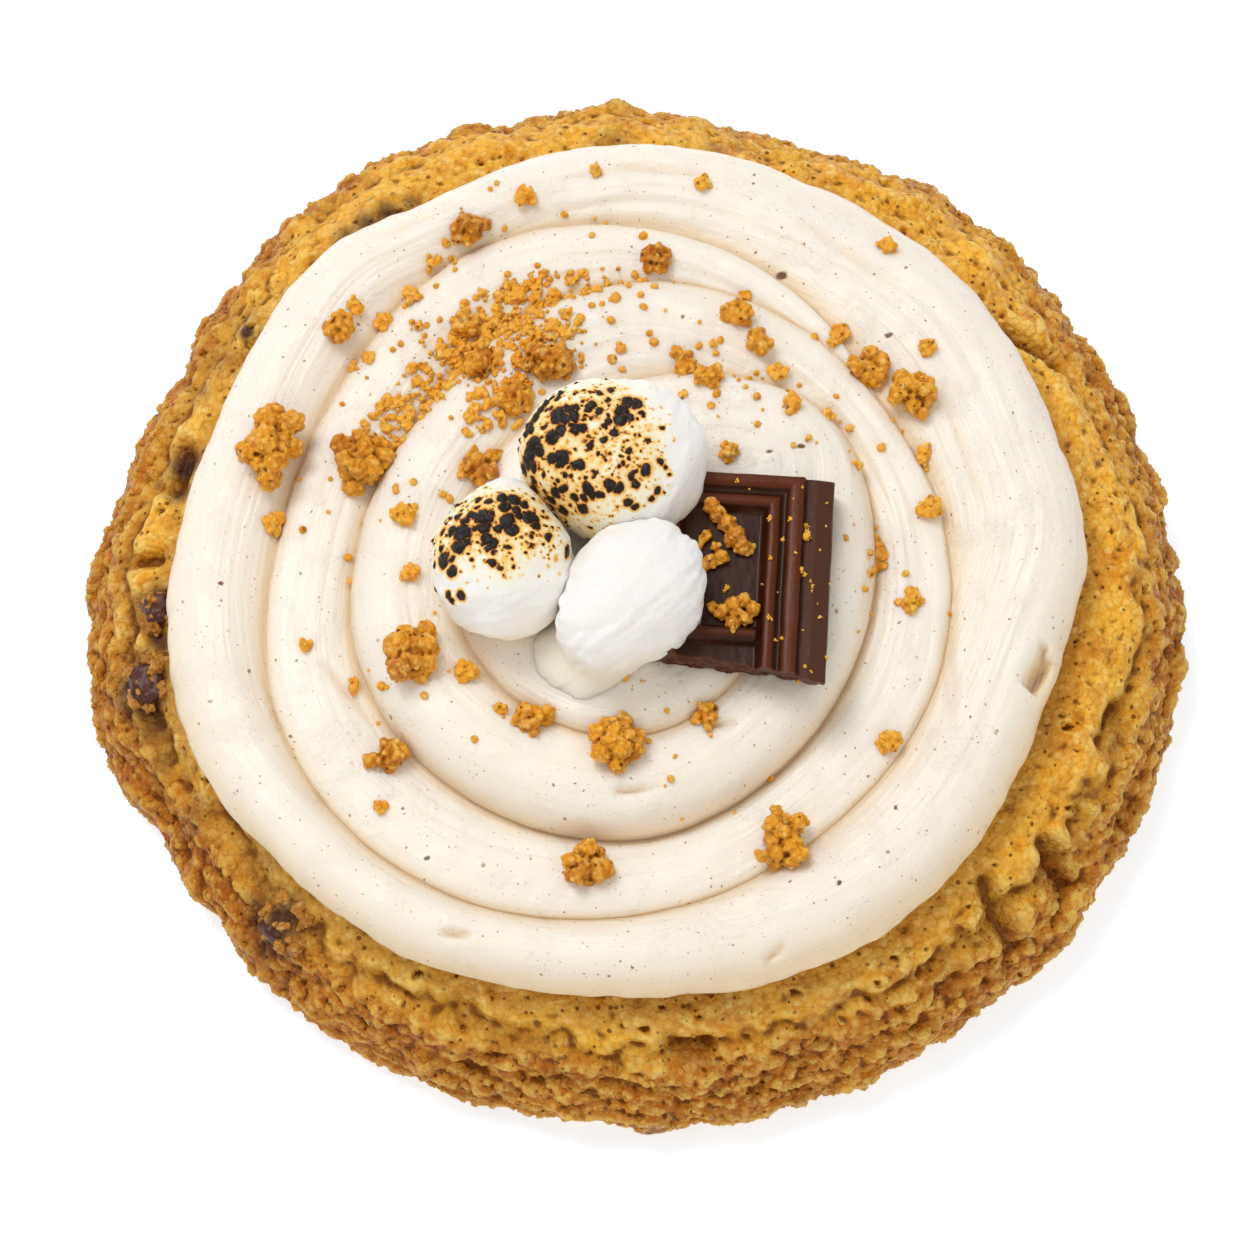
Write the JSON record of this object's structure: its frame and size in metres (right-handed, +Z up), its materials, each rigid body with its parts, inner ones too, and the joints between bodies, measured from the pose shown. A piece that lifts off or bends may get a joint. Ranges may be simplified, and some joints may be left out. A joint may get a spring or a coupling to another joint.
{
  "type": "smores cookie",
  "caption": "Thick round cookie with a spiral swirl of frosting, topped with toasted marshmallows, a moulded chocolate piece and cookie crumbs.",
  "frame": {"origin": "on the flat underside, below the middle of the cookie's box", "axes": "+Z up out of the frosting, +X along the cookie's widest way, -Y towards the side the picture was taken from"},
  "size_m": [0.1042, 0.1024, 0.0374],
  "materials": {
    "baked_dough": "baked golden brown dough, rough and grainy",
    "vanilla_frosting": "smooth cream frosting with vanilla specks, soft sheen",
    "marshmallow": "soft white marshmallow skin, toasted brown to black in places",
    "milk_chocolate": "moulded milk chocolate, satin"
  },
  "bodies": {
    "root": {"cookie": "baked_dough", "frosting": "vanilla_frosting", "marshmallow_back": "marshmallow", "marshmallow_left": "marshmallow", "marshmallow_front": "marshmallow", "chocolate_piece": "milk_chocolate", "chunk_front": "milk_chocolate", "chunk_left": "milk_chocolate", "chunk_rim": "milk_chocolate"}
  },
  "joints": []
}
